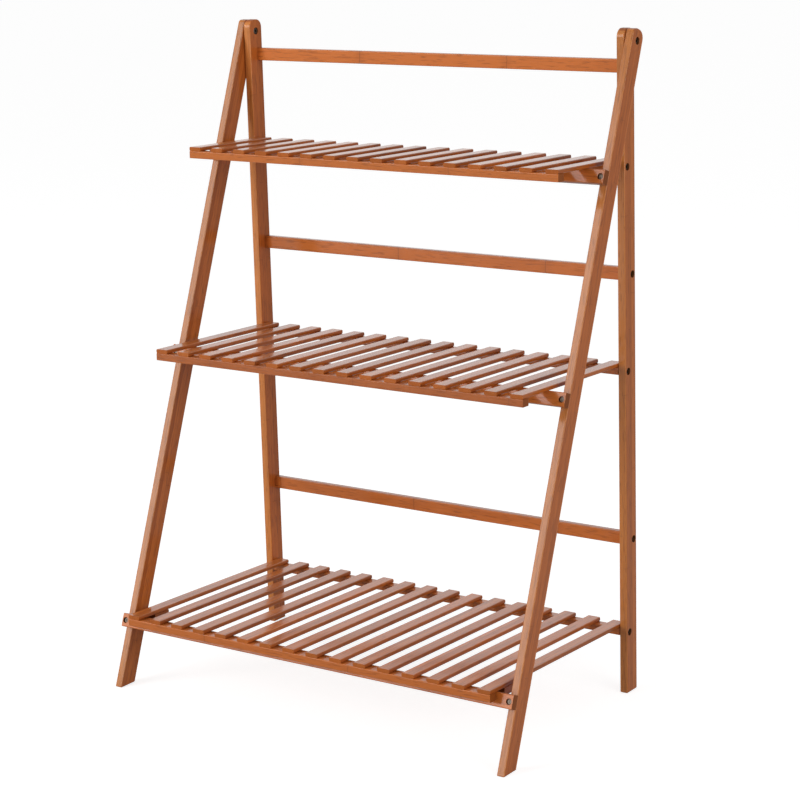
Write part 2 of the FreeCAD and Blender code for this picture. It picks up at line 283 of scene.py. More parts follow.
class PlantStandStage(bpy.types.PropertyGroup):
    """Floor, light and camera."""

    floor_wide: FloatProperty(
        name="Floor size", description="Side of the square floor",
        default=60.0, subtype="DISTANCE")
    floor_drop: FloatProperty(
        name="Floor drop", description="How far the floor lies under the feet",
        default=0.0005, subtype="DISTANCE")
    floor_colour: FloatVectorProperty(
        name="Floor colour", description="Matt studio floor under its own soft glow",
        default=(0.5, 0.5, 0.5), size=3, subtype="COLOR", min=0, max=1)
    floor_glow: FloatProperty(
        name="Floor glow", description="How far the floor is lifted to white", default=0.78, min=0)
    floor_mirrored: FloatProperty(
        name="Floor mirrored", description="Share of the floor's glow that the varnish mirrors",
        default=0.1, subtype="FACTOR", min=0, max=1)
    room_light: FloatProperty(
        name="Room light", description="Strength of the even studio light", default=0.4, min=0)
    key_light: FloatProperty(
        name="Key light", description="Power of the large lamp at the front left, not seen in the varnish",
        default=54.0, subtype="POWER")
    sheen_light: FloatProperty(
        name="Sheen light", description="Power of the soft panel that the front legs mirror",
        default=52.0, subtype="POWER")
    fill_light: FloatProperty(
        name="Fill light", description="Power of the large lamp at the right",
        default=42.0, subtype="POWER")
    camera_at: FloatVectorProperty(
        name="Camera place", description="Where the camera stands",
        default=(1.90563, -2.65812, 1.21557), size=3, subtype="XYZ", unit="LENGTH")
    camera_turn: FloatVectorProperty(
        name="Camera turn", description="Heading, drop below level, and roll of the camera",
        default=(math.radians(35.3), math.radians(13.47), math.radians(-1.73)), size=3, subtype="EULER")
    lens: FloatProperty(
        name="Lens", description="Focal length in millimetres", default=105.29, min=1)
    sensor_wide: FloatProperty(
        name="Sensor width", description="Width of the camera's sensor in millimetres", default=36.0, min=1)
    lens_shift: FloatVectorProperty(
        name="Lens shift", description="Shift of the picture across and up, as shares of its width",
        default=(0.02266, 0.0043), size=2)


# Working on a mesh

def deselect_all():
    """Nothing stays selected, so that the next operator acts on the new piece alone."""
    if bpy.context.object and bpy.context.object.mode != "OBJECT":
        bpy.ops.object.mode_set(mode="OBJECT")
    bpy.ops.object.select_all(action="DESELECT")


def choose(piece):
    """Select one piece alone and make it the active one."""
    deselect_all()
    piece.select_set(True)
    bpy.context.view_layer.objects.active = piece


def edit_edges(piece, wanted):
    """Enter edit mode and select the edges whose two ends pass the test."""
    bpy.ops.object.mode_set(mode="EDIT")
    bpy.ops.mesh.select_mode(type="EDGE")
    bpy.ops.mesh.select_all(action="DESELECT")
    mesh = bmesh.from_edit_mesh(piece.data)
    for edge in mesh.edges:
        edge.select_set(wanted(edge.verts[0].co, edge.verts[1].co))
    bmesh.update_edit_mesh(piece.data)


def edit_faces(piece, wanted):
    """Enter edit mode and select the faces whose normal passes the test."""
    bpy.ops.object.mode_set(mode="EDIT")
    bpy.ops.mesh.select_mode(type="FACE")
    bpy.ops.mesh.select_all(action="DESELECT")
    mesh = bmesh.from_edit_mesh(piece.data)
    for face in mesh.faces:
        face.select_set(wanted(face.normal))
    bmesh.update_edit_mesh(piece.data)


def apply_modifier(piece, kind, **settings):
    """Add one modifier to a piece and apply it."""
    choose(piece)
    modifier = piece.modifiers.new(kind, kind)
    for name, value in settings.items():
        setattr(modifier, name, value)
    bpy.ops.object.modifier_apply(modifier=modifier.name)


def settle(piece):
    """Put a piece's place, turn and size into its mesh."""
    choose(piece)
    bpy.ops.object.transform_apply(location=True, rotation=True, scale=True)


def put(piece, placement):
    """Move and turn a piece to where it belongs on the object."""
    piece.matrix_world = placement
    settle(piece)


def join(pieces, name):
    """Join pieces into the first of them, and name the whole."""
    deselect_all()
    for piece in pieces:
        piece.select_set(True)
    whole = pieces[0]
    bpy.context.view_layer.objects.active = whole
    bpy.ops.object.join()
    whole.name = name
    whole.data.name = name
    return whole


def copy_of(piece, name):
    """A copy with a mesh of its own."""
    copy = piece.copy()
    copy.data = piece.data.copy()
    copy.name = name
    bpy.context.collection.objects.link(copy)
    return copy


def carve(piece, cutter, **settings):
    """Take the cutter's shape out of a piece."""
    apply_modifier(piece, "BOOLEAN", operation="DIFFERENCE", solver="EXACT", object=cutter, **settings)
    bpy.data.objects.remove(cutter)


def fit(piece, node, body):
    """Let a finished piece stand for its solid and move with its body."""
    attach(piece, body)
    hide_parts(node)


# Places on the object

def standing():
    """The rear frame stands upright."""
    return Matrix.Identity(4)


def front_frame():
    """The front frame leans back from its feet."""
    lean = bpy.context.scene.stand_sizes.lean
    return Matrix.Translation((0, FRONT_LEG_LOW.y, 0)) @ Matrix.Rotation(-lean, 4, "X")


def shelf_frame(shelf):
    """A shelf rises to the front from its pivots."""
    tilt = bpy.context.scene.stand_sizes.tilt
    pivot = SHELF_PIVOT[shelf]
    return Matrix.Translation((0, pivot.y, pivot.z)) @ Matrix.Rotation(-tilt, 4, "X")


def aimed(mouth, inward):
    """Where something made along +Z goes to point inward from a mouth."""
    turn = Vector((0, 0, 1)).rotation_difference(inward).to_matrix().to_4x4()
    return Matrix.Translation(mouth) @ turn


def level_with(x, centre):
    """The point at x that is level with a centre."""
    return Vector((x, centre.y, centre.z))


def both_sides(x, centre, way):
    """Mirrored points at x and -x level with a centre, pointing outward (1) or inward (-1)."""
    return [(level_with(side * x, centre), Vector((side * way, 0, 0))) for side in (1, -1)]


def extent(corners):
    """Lowest and highest corner of the box around some points."""
    low = Vector([min(corner[axis] for corner in corners) for axis in range(3)])
    high = Vector([max(corner[axis] for corner in corners) for axis in range(3)])
    return low, high


def straight_corners(node, placement, side=0):
    """The corners of a solid, or of its part on one side, turned back to straight."""
    turn = placement.inverted()
    return [turn @ vertex.co for vertex in frame["nodes"][node].data.vertices if vertex.co.x * side >= 0]


def straight_box(node, placement, side=0):
    """Lowest and highest corner of a solid, or of its part on one side, turned back to straight."""
    return extent(straight_corners(node, placement, side))


def pointing(placement, axis):
    """Which way an axis of the straight piece points once the piece is in its place."""
    return placement.to_3x3() @ Vector([1.0 if number == axis else 0.0 for number in range(3)])


# Woodwork

def sawn_blank(name, low, high):
    """A cube at the size and place of a sawn length of wood."""
    deselect_all()
    bpy.ops.mesh.primitive_cube_add(size=1.0, location=(low + high) / 2)
    piece = bpy.context.object
    piece.name = name
    piece.data.name = name
    piece.scale = high - low
    settle(piece)
    piece.data.materials.append(bpy.data.materials["stained_bamboo_grain"])
    piece.data.materials.append(bpy.data.materials["stained_bamboo_ends"])
    return piece


def ease_edges(piece, width, steps, degrees):
    """Round every edge that turns by more than some degrees."""
    apply_modifier(
        piece, "BEVEL", width=width, segments=steps, limit_method="ANGLE", angle_limit=math.radians(degrees))


def plank(name, low, high, length_axis, edge):
    """Straight piece with rounded long edges and eased sawn ends."""
    sizes = bpy.context.scene.stand_sizes
    piece = sawn_blank(name, low, high)
    edit_edges(piece, lambda a, b: abs(a[length_axis] - b[length_axis]) > TOUCHING)
    bpy.ops.mesh.bevel(offset_type="OFFSET", offset=edge, segments=sizes.round_steps, profile=0.5)
    bpy.ops.object.mode_set(mode="OBJECT")
    ease_edges(piece, sizes.sawn_edge, steps=2, degrees=60)
    return piece


def saw_off(piece, place, away):
    """Saw a piece through at a place and drop what lies away from the rest."""
    choose(piece)
    bpy.ops.object.mode_set(mode="EDIT")
    bpy.ops.mesh.select_all(action="SELECT")
    bpy.ops.mesh.bisect(plane_co=place, plane_no=away, clear_outer=True, use_fill=True)
    bpy.ops.object.mode_set(mode="OBJECT")


def round_leg_top(piece, front_radius, back_radius):
    """Round the two upper corners of a leg and ease its long edges."""
    top = [vertex.co.y for vertex in piece.data.vertices if vertex.co.z > TOP_PIVOT.z]
    for corner_y, radius in ((min(top), front_radius), (max(top), back_radius)):
        edit_edges(piece, lambda a, b: (
            min(a.z, b.z) > TOP_PIVOT.z and max(abs(a.y - corner_y), abs(b.y - corner_y)) < TOUCHING))
        bpy.ops.mesh.bevel(offset_type="OFFSET", offset=radius, segments=10, profile=0.5)
        bpy.ops.object.mode_set(mode="OBJECT")
    ease_edges(piece, bpy.context.scene.stand_sizes.leg_edge, steps=3, degrees=40)


def drill(piece, mouth, inward, radius, deep):
    """Drill a flat-bottomed recess with an eased lip, and give its walls a darker material as painted shade.
    """
    lip = bpy.context.scene.stand_sizes.recess_lip
    deselect_all()
    bpy.ops.mesh.primitive_cylinder_add(
        vertices=40, radius=radius, depth=deep - lip, location=(0, 0, (deep + lip) / 2))
    cutter = bpy.context.object
    # The cutter's material darkens the recess walls as painted shade
    cutter.data.materials.append(bpy.data.materials["stained_bamboo_recess"])
    settle(cutter)
    edit_faces(cutter, lambda normal: normal.z < -FLAT_ON)
    bpy.ops.mesh.extrude_region_move(TRANSFORM_OT_translate={"value": (0, 0, -2 * lip)})
    flare = (radius + 2 * lip) / radius
    bpy.ops.transform.resize(value=(flare, flare, 1), center_override=(0, 0, -lip))
    bpy.ops.object.mode_set(mode="OBJECT")
    put(cutter, aimed(mouth, inward))
    carve(piece, cutter, material_mode="TRANSFER")


def sand(piece):
    """Smooth the rounded edges and keep the faces flat."""
    choose(piece)
    bpy.ops.object.shade_smooth_by_angle(angle=SMOOTH_ANGLE)
    apply_modifier(piece, "WEIGHTED_NORMAL", mode="FACE_AREA", weight=60, keep_sharp=True)


def lay_grain(piece, placement, length_axis, kind, seed):
    """Write where each corner lies in the grain and in the glued strips, and each face's tone, with painted
    sheen on the legs' narrow faces and painted shade on the slats' narrow faces.

    The grain runs along, across and through the piece in metres. The strips are counted across
    and through it, from a first strip of its own, so that no two pieces are alike.
    """
    chance = random.Random(seed)
    spread = bpy.context.scene.stand_finish.tone_spread
    start = Vector([chance.uniform(0, reach) for reach in GRAIN_REACH])
    first_strip = Vector([chance.randrange(STRIP_CHOICE), chance.randrange(STRIP_CHOICE)])
    tone = 1 + spread * chance.uniform(-1, 1)
    warmth = spread * chance.uniform(-1, 1)
    turn = placement.inverted()
    straight = [turn @ vertex.co for vertex in piece.data.vertices]
    low, high = extent(straight)
    size = high - low
    wide, thick = sorted((axis for axis in range(3) if axis != length_axis), key=lambda axis: -size[axis])
    strips_wide, strips_thick = kind["strips"]
    grain = piece.data.attributes.new("grain", "FLOAT_VECTOR", "POINT")
    strip = piece.data.attributes.new("strip", "FLOAT_VECTOR", "POINT")
    for index, corner in enumerate(straight):
        inside = corner - low
        grain.data[index].vector = Vector((corner[length_axis], inside[wide], inside[thick])) + start
        across = first_strip[0] + SHORT_OF_NEXT * strips_wide * inside[wide] / size[wide]
        through = first_strip[1] + SHORT_OF_NEXT * strips_thick * inside[thick] / size[thick]
        strip.data[index].vector = (across, through, kind["nodes"])
    tint = piece.data.attributes.new("tint", "FLOAT_VECTOR", "FACE")
    narrow = pointing(placement, wide)
    length = pointing(placement, length_axis)
    stain_tone = Vector((tone * (1 + WARM_RED * warmth), tone, tone * (1 + WARM_BLUE * warmth)))
    for face in piece.data.polygons:
        tint.data[face.index].vector = stain_tone
        if abs(face.normal.dot(length)) > END_ON:
            tint.data[face.index].vector = stain_tone * kind["end_tone"]
        # Painted light: narrow faces take the kind's narrow-face factor, painted sheen on the legs and
        # painted shade on the slats
        elif abs(face.normal.dot(narrow)) > EDGE_ON:
            tint.data[face.index].vector = stain_tone * Vector(kind["edge_sheen_and_shade"])


def stain(piece, placement, length_axis):
    """Give the long faces the bamboo's side grain and the sawn ends its end grain."""
    length = pointing(placement, length_axis)
    grain_and_ends = 2
    for face in piece.data.polygons:
        if face.material_index < grain_and_ends:
            face.material_index = 1 if abs(face.normal.dot(length)) > END_ON else 0


def figure_wood(piece, placement, length_axis, kind, seed):
    """Smooth, grain and stain one piece that is already in its place."""
    sand(piece)
    lay_grain(piece, placement, length_axis, kind, seed)
    stain(piece, placement, length_axis)


def finish_wood(piece, node, body, placement, length_axis, kind, seed):
    """Figure one piece and let it stand for its solid."""
    figure_wood(piece, placement, length_axis, kind, seed)
    fit(piece, node, body)


# Steelwork

def screw_head(wide, high, foot_wide, rim):
    """A round head from z = 0 down to -high, with its outer rim rounded by a share of its height."""
    deselect_all()
    bpy.ops.mesh.primitive_cone_add(
        vertices=40, radius1=wide / 2, radius2=foot_wide / 2, depth=high, location=(0, 0, -high / 2))
    head = bpy.context.object
    settle(head)
    edit_faces(head, lambda normal: normal.z < -FLAT_ON)
    bpy.ops.mesh.bevel(offset_type="OFFSET", offset=rim * high, segments=4, profile=0.5, affect="EDGES")
    bpy.ops.object.mode_set(mode="OBJECT")
    return head


def socket_cutter(head_high):
    """Cutter for a six-sided socket in the outer face of a head."""
    deselect_all()
    bpy.ops.mesh.primitive_cylinder_add(
        vertices=6, radius=SOCKET_RADIUS, depth=CUTTER_HIGH * head_high, location=(0, 0, -head_high))
    cutter = bpy.context.object
    settle(cutter)
    return cutter


def blade_cutter(head_high, turn):
    """Cutter for one blade of a cross in the outer face of a head, narrower at the bottom."""
    deselect_all()
    bpy.ops.mesh.primitive_cube_add(size=1.0, location=(0, 0, -head_high), rotation=(0, 0, turn))
    cutter = bpy.context.object
    cutter.scale = (BLADE_LONG, BLADE_WIDE, CUTTER_HIGH * head_high)
    settle(cutter)
    edit_faces(cutter, lambda normal: normal.z > FLAT_ON)
    bpy.ops.transform.resize(value=BLADE_BOTTOM)
    bpy.ops.object.mode_set(mode="OBJECT")
    return cutter


def add_shank(head, wide, length):
    """Join a plain shank along +Z to a finished head."""
    deselect_all()
    bpy.ops.mesh.primitive_cylinder_add(
        vertices=20, radius=wide / 2, depth=length, location=(0, 0, length / 2))
    shank = bpy.context.object
    settle(shank)
    whole = join([head, shank], "screw_pattern")
    sand(whole)
    return whole


def cross_screw(head_wide, head_high, shank_wide, length):
    """Wood screw along +Z: a countersunk head from z = 0 down to -head_high, with a cross in it."""
    head = screw_head(head_wide, head_high, shank_wide + 2 * FOOT_STEP, FLAT_RIM)
    for turn in (0, math.pi / 2):
        carve(head, blade_cutter(head_high, turn))
    return add_shank(head, shank_wide, length)


def socket_screw(head_wide, head_high, shank_wide, length):
    """Bolt along +Z: a button head from z = 0 down to -head_high, with a six-sided socket in it."""
    head = screw_head(head_wide, head_high, head_wide, BUTTON_RIM)
    carve(head, socket_cutter(head_high))
    return add_shank(head, shank_wide, length)


def set_screws(node, body, pattern, places):
    """Copy one finished screw to each of its places and join them as one piece."""
    copies = []
    for mouth, inward in places:
        copy = copy_of(pattern, node + "_steel")
        put(copy, aimed(mouth, inward))
        copies.append(copy)
    whole = join(copies, node + "_steel")
    whole.data.materials.clear()
    whole.data.materials.append(bpy.data.materials["plated_steel"])
    fit(whole, node, body)


# Materials

def new_node(tree, kind, inputs=None, **settings):
    """Add a shader node, with its settings and its inputs' values or links."""
    node = tree.nodes.new("ShaderNode" + kind)
    for name, value in settings.items():
        setattr(node, name, value)
    for name, value in (inputs or {}).items():
        if isinstance(value, bpy.types.NodeSocket):
            tree.links.new(value, node.inputs[name])
        else:
            node.inputs[name].default_value = value
    return node


def calc(tree, operation, first, second=0.0, third=0.0, clamp=False):
    """One step of arithmetic."""
    inputs = {0: first, 1: second, 2: third}
    return new_node(tree, "Math", inputs, operation=operation, use_clamp=clamp).outputs[0]


def layered(tree, layers, weights, start):
    """Add the named layers, each times its weight, to a starting value."""
    total = start
    for name, weight in weights.items():
        total = calc(tree, "MULTIPLY_ADD", layers[name], weight, total)
    return total


def mix(tree, factor, first, second, blend="MIX"):
    """Blend two colours."""
    inputs = {0: factor, 6: first, 7: second}
    return new_node(tree, "Mix", inputs, data_type="RGBA", blend_type=blend).outputs[2]


def fade(tree, value, edge, low, high):
    """Ramp smoothly from low to high as the value crosses an edge from its start to its end."""
    inputs = {"Value": value, "From Min": edge[0], "From Max": edge[1], "To Min": low, "To Max": high}
    return new_node(tree, "MapRange", inputs, interpolation_type="SMOOTHSTEP").outputs[0]


def opaque(colour):
    """A colour with full alpha."""
    return (colour[0], colour[1], colour[2], 1.0)


def blank_material(name):
    """A material with only its output node."""
    material = bpy.data.materials.new(name)
    material.use_nodes = True
    tree = material.node_tree
    tree.nodes.clear()
    output = tree.nodes.new("ShaderNodeOutputMaterial")
    return tree, output


def grain_noise(tree, grain, cells, **inputs):
    """Noise with some number of cells per metre along the grain and across it."""
    along, across = cells
    place = new_node(tree, "VectorMath", {0: grain, 1: (along, across, across)}, operation="MULTIPLY")
    return new_node(tree, "TexNoise", {"Vector": place.outputs[0], "Scale": 1.0, **inputs}).outputs[0]


def side_marks(tree, grain, along, strip_across, strip_shift, strength):
    """Dark flecks, glue lines between the strips, and each strip's nodes with their halos."""
    apart = bpy.context.scene.stand_finish.node_apart
    wave = grain_noise(tree, grain, WAVE_CELLS, Detail=1.0)
    bowed = calc(tree, "MULTIPLY_ADD", wave, NODE_BOW, along)
    node_count = calc(tree, "ADD", calc(tree, "DIVIDE", bowed, apart), strip_shift)
    off_node = calc(tree, "SUBTRACT", calc(tree, "FRACT", node_count), 0.5)
    from_node = calc(tree, "MULTIPLY", calc(tree, "ABSOLUTE", off_node), apart)
    from_glue = calc(tree, "PINGPONG", strip_across, 0.5)
    flecks = grain_noise(tree, grain, FLECK_CELLS, Detail=1.0, Distortion=0.4)
    return {
        "fleck": fade(tree, flecks, FLECK_LEVEL, 0.0, 1.0),
        "glue_line": fade(tree, from_glue, GLUE_LINE, 1.0, 0.0),
        "node_line": calc(tree, "MULTIPLY", fade(tree, from_node, NODE_LINE, 1.0, 0.0), strength),
        "node_halo": calc(tree, "MULTIPLY", fade(tree, from_node, NODE_HALO, 1.0, 0.0), strength),
    }


def end_marks(tree, across, through):
    """The pale flesh between the dark fibres of a sawn end."""
    section = new_node(tree, "CombineXYZ", {1: across, 2: through}).outputs[0]
    dots = new_node(tree, "TexVoronoi", {"Vector": section, "Scale": PORE_CELLS, "Randomness": 0.9})
    return {"pores": fade(tree, dots.outputs["Distance"], PORE_LEVEL, 0.0, 1.0)}


def make_bamboo(name, ends, shade=1.0):
    """Varnished bamboo: laminated strips with nodes on the long faces, or the cut fibres of an end."""
    finish = bpy.context.scene.stand_finish
    figure = END_FIGURE if ends else SIDE_FIGURE
    tree, output = blank_material(name)
    grain = new_node(tree, "Attribute", attribute_name="grain").outputs["Vector"]
    strip = new_node(tree, "Attribute", attribute_name="strip").outputs["Vector"]
    tint = new_node(tree, "Attribute", attribute_name="tint").outputs["Color"]
    along, across, through = new_node(tree, "SeparateXYZ", {0: grain}).outputs
    strip_across, strip_through, strength = new_node(tree, "SeparateXYZ", {0: strip}).outputs

    # A tone and a shift of its own for each strip
    cell = new_node(tree, "CombineXYZ", {
        0: calc(tree, "FLOOR", strip_across), 1: calc(tree, "FLOOR", strip_through)}).outputs[0]
    dice = new_node(tree, "TexWhiteNoise", {"Vector": cell}, noise_dimensions="3D")
    layers = {
        "strip": dice.outputs["Value"],
        "fibre": grain_noise(tree, grain, FIBRE_CELLS, Detail=3.0, Roughness=0.65),
        "streak": grain_noise(tree, grain, STREAK_CELLS, Detail=2.0, Roughness=0.5),
        "blotch": grain_noise(tree, grain, BLOTCH_CELLS, Detail=2.0, Roughness=0.55),
    }
    if ends:
        layers.update(end_marks(tree, across, through))
    else:
        strip_shift = new_node(tree, "SeparateColor", {0: dice.outputs["Color"]}).outputs[1]
        layers.update(side_marks(tree, grain, along, strip_across, strip_shift, strength))

    depth = calc(tree, "ADD", layered(tree, layers, figure["depth"], figure["start"]), clamp=True)
    # A shade below 1 darkens both stains, as painted shade for the recess walls
    stain_dark = opaque([value * shade for value in finish.stain_dark])
    stain_light = opaque([value * shade for value in finish.stain_light])
    colour = mix(tree, depth, stain_dark, stain_light)
    for mark, darkness in figure["marks"].items():
        colour = mix(tree, calc(tree, "MULTIPLY", layers[mark], darkness), colour, opaque(finish.node_stain))
    # Each face's own tone, with the painted sheen or painted shade of the narrow faces, multiplies the
    # colour
    colour = mix(tree, 1.0, colour, tint, "MULTIPLY")
    height = layered(tree, layers, figure["height"], 0.0)
    bump = new_node(tree, "Bump", {"Height": height, "Strength": 0.35, "Distance": 0.00012})
    rough = calc(tree, "MULTIPLY_ADD", layers["fibre"], FIBRE_ROUGH, figure["rough"])
    shader = new_node(tree, "BsdfPrincipled", {
        "Base Color": colour, "Roughness": rough, "Normal": bump.outputs[0], "IOR": 1.5,
        "Specular IOR Level": 0.1, "Coat Weight": finish.varnish * figure["varnish"],
        "Coat Roughness": 0.14, "Coat IOR": 1.5})
    tree.links.new(shader.outputs[0], output.inputs[0])


def make_steel():
    """Plated steel with faint turning marks and handling dulled in patches."""
    finish = bpy.context.scene.stand_finish
    tree, output = blank_material("plated_steel")
    place = new_node(tree, "TexCoord").outputs["Object"]
    patches = new_node(tree, "TexNoise", {"Vector": place, "Scale": 700.0, "Detail": 3.0}).outputs[0]
    marks = new_node(tree, "TexNoise", {"Vector": place, "Scale": 6000.0, "Detail": 1.0}).outputs[0]
    dull = opaque([value * STEEL_DULL for value in finish.steel])
    colour = mix(tree, fade(tree, patches, STEEL_PATCH, 0.0, 1.0), dull, opaque(finish.steel))
    rough = calc(tree, "MULTIPLY_ADD", patches, STEEL_ROUGH, STEEL_ROUGH)
    bump = new_node(tree, "Bump", {"Height": marks, "Strength": 0.2, "Distance": 0.00005})
    shader = new_node(tree, "BsdfPrincipled", {
        "Base Color": colour, "Metallic": 1.0, "Roughness": rough, "Normal": bump.outputs[0]})
    tree.links.new(shader.outputs[0], output.inputs[0])


class PLANTSTAND_OT_finishes(bpy.types.Operator):
    """Make the stained bamboo and the plated steel"""

    bl_idname = "plant_stand.finishes"
    bl_label = "Finishes"

    def execute(self, context):
        make_bamboo("stained_bamboo_grain", ends=False)
        make_bamboo("stained_bamboo_ends", ends=True)
        # Recess walls: the end grain darkened as painted shade
        make_bamboo("stained_bamboo_recess", ends=True, shade=context.scene.stand_finish.recess_painted_shade)
        make_steel()
        return {"FINISHED"}


class PLANTSTAND_OT_rear_legs(bpy.types.Operator):
    """Build the two upright rear legs"""

    bl_idname = "plant_stand.rear_legs"
    bl_label = "Rear legs"

    def execute(self, context):
        sizes = context.scene.stand_sizes
        for side, node in ((1, "rear_right_leg"), (-1, "rear_left_leg")):
            low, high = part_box(node)
            piece = sawn_blank(node + "_wood", low, high)
            round_leg_top(piece, sizes.leg_corner, sizes.leg_corner)
            outer = high.x if side > 0 else low.x
            inner = low.x if side > 0 else high.x
            inward = Vector((-side, 0, 0))
            for rail, shelf in RAILS.items():
                rail_low, rail_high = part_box(rail)
                rail_end = level_with(outer, (rail_low + rail_high) / 2)
                drill(piece, rail_end, inward, sizes.leg_recess, sizes.rail_recess_deep)
                pivot = level_with(outer, SHELF_PIVOT[shelf])
                drill(piece, pivot, inward, sizes.leg_recess, sizes.pivot_recess_deep)
            nut = level_with(inner, TOP_PIVOT)
            drill(piece, nut, -inward, sizes.leg_recess, sizes.nut_recess_deep)
            finish_wood(piece, node, "rear_frame", standing(), UPRIGHT, LEG_GRAIN, SEED["rear_legs"] + side)
        return {"FINISHED"}


class PLANTSTAND_OT_rails(bpy.types.Operator):
    """Build the three rails between the rear legs"""

    bl_idname = "plant_stand.rails"
    bl_label = "Rear rails"

    def execute(self, context):
        sizes = context.scene.stand_sizes
        for count, node in enumerate(RAILS):
            low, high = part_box(node)
            piece = plank(node + "_wood", low, high, ACROSS, sizes.bar_edge)
            finish_wood(piece, node, "rear_frame", standing(), ACROSS, RAIL_GRAIN, SEED["rails"] + count)
        return {"FINISHED"}


class PLANTSTAND_OT_front_legs(bpy.types.Operator):
    """Build the two leaning front legs"""

    bl_idname = "plant_stand.front_legs"
    bl_label = "Front legs"

    def execute(self, context):
        sizes = context.scene.stand_sizes
        placement = front_frame()
        for side, node in ((1, "front_right_leg"), (-1, "front_left_leg")):
            low, high = straight_box(node, placement)
            piece = sawn_blank(node + "_wood", low, high)
            put(piece, placement)
            saw_off(piece, (0, 0, 0), (0, 0, -1))
            saw_off(piece, (0, 0, FRONT_LEG_HIGH.z), (0, 0, 1))
            round_leg_top(piece, sizes.front_corner, sizes.back_corner)
            bolt = level_with(high.x if side > 0 else low.x, TOP_PIVOT)
            drill(piece, bolt, Vector((-side, 0, 0)), sizes.leg_recess, sizes.rail_recess_deep)
            finish_wood(piece, node, "front_frame", placement, UPRIGHT, LEG_GRAIN, SEED["front_legs"] + side)
        return {"FINISHED"}


class PLANTSTAND_OT_cross_bars(bpy.types.Operator):
    """Build the three cross bars on the front legs"""

    bl_idname = "plant_stand.cross_bars"
    bl_label = "Cross bars"

    def execute(self, context):
        sizes = context.scene.stand_sizes
        placement = front_frame()
        screw_x = (FRONT_LEG_LOW.x + FRONT_LEG_HIGH.x) / 2
        for count, node in enumerate(BARS):
            low, high = straight_box(node, placement)
            piece = plank(node + "_wood", low, high, ACROSS, sizes.bar_edge)
            for x in (-screw_x, screw_x):
                mouth = Vector((x, low.y, (low.z + high.z) / 2))
                drill(piece, mouth, Vector((0, 1, 0)), sizes.bar_recess, sizes.bar_recess_deep)
            put(piece, placement)
            finish_wood(piece, node, "front_frame", placement, ACROSS, BAR_GRAIN, SEED["bars"] + count)
        return {"FINISHED"}


class PLANTSTAND_OT_battens(bpy.types.Operator):
    """Build the front and rear batten of every shelf"""

    bl_idname = "plant_stand.battens"
    bl_label = "Shelf battens"

    def execute(self, context):
        sizes = context.scene.stand_sizes
        seed = SEED["battens"]
        for shelf in SHELVES:
            placement = shelf_frame(shelf)
            for place in ("front", "rear"):
                node = "%s_%s_batten" % (shelf, place)
                low, high = straight_box(node, placement)
                piece = plank(node + "_wood", low, high, ACROSS, sizes.batten_edge)
                put(piece, placement)
                finish_wood(piece, node, shelf + "_shelf", placement, ACROSS, BATTEN_GRAIN, seed)
                seed += 1
        return {"FINISHED"}


class PLANTSTAND_OT_slats(bpy.types.Operator):
    """Build the sixteen slats of every shelf"""

    bl_idname = "plant_stand.slats"
    bl_label = "Slats"

    def execute(self, context):
        sizes = context.scene.stand_sizes
        seeds_per_shelf = 40
        for count, shelf in enumerate(SHELVES):
            placement = shelf_frame(shelf)
            low, high = straight_box(shelf + "_slat_pair_1", placement, 1)
            pattern = plank("slat_pattern", low, high, OUTWARD, sizes.slat_edge)
            for pair in range(1, SLAT_PAIRS + 1):
                node = "%s_slat_pair_%d" % (shelf, pair)
                slats = []
                for side in (1, -1):
                    slat_x = straight_box(node, placement, side)[0].x
                    slat = copy_of(pattern, node + "_wood")
                    put(slat, placement @ Matrix.Translation((slat_x - low.x, 0, 0)))
                    seed = SEED["slats"] + seeds_per_shelf * count + 2 * pair + (side > 0)
                    figure_wood(slat, placement, OUTWARD, SLAT_GRAIN, seed)
                    slats.append(slat)
                whole = join(slats, node + "_wood")
                fit(whole, node, shelf + "_shelf")
            bpy.data.objects.remove(pattern)
        return {"FINISHED"}


class PLANTSTAND_OT_stop_blocks(bpy.types.Operator):
    """Build the stop blocks under the bottom shelf's outermost slats"""

    bl_idname = "plant_stand.stop_blocks"
    bl_label = "Stop blocks"

    def execute(self, context):
        sizes = context.scene.stand_sizes
        placement = shelf_frame("bottom")
        node = "bottom_stop_blocks"
        corners = straight_corners(node, placement)
        lowest = min(corner.z for corner in corners)
        foremost = min(corner.y for corner in corners)
        planed_y = min(corner.y for corner in corners if corner.z < lowest + TOUCHING)
        planed_z = min(corner.z for corner in corners if corner.y < foremost + TOUCHING)
        away = Vector((0, lowest - planed_z, foremost - planed_y))
        blocks = []
        for side in (1, -1):
            low, high = straight_box(node, placement, side)
            block = sawn_blank(node + "_wood", low, high)
            saw_off(block, (0, planed_y, lowest), away)
            ease_edges(block, sizes.block_edge, steps=2, degrees=25)
            put(block, placement)
            figure_wood(block, placement, OUTWARD, BLOCK_GRAIN, SEED["blocks"] + side)
            blocks.append(block)
        whole = join(blocks, node + "_wood")
        fit(whole, node, "bottom_shelf")
        return {"FINISHED"}


class PLANTSTAND_OT_wood_screws(bpy.types.Operator):
    """Set the cross-head screws that hold the rails and the bars"""

    bl_idname = "plant_stand.wood_screws"
    bl_label = "Wood screws"

    def execute(self, context):
        sizes = context.scene.stand_sizes
        pattern = cross_screw(**RAIL_SCREW)
        places = []
        for rail in RAILS:
            low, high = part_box(rail)
            places += both_sides(REAR_LEG_HIGH.x - sizes.rail_recess_deep, (low + high) / 2, -1)
        set_screws("rail_screws", "rear_frame", pattern, places)
        bpy.data.objects.remove(pattern)

        pattern = cross_screw(**BAR_SCREW)
        placement = front_frame()
        screw_x = (FRONT_LEG_LOW.x + FRONT_LEG_HIGH.x) / 2
        places = []
        for bar in BARS:
            low, high = straight_box(bar, placement)
            for side in (1, -1):
                floor = Vector((side * screw_x, low.y + sizes.bar_recess_deep, (low.z + high.z) / 2))
                places.append((placement @ floor, pointing(placement, OUTWARD)))
        set_screws("bar_screws", "front_frame", pattern, places)
        bpy.data.objects.remove(pattern)
        return {"FINISHED"}


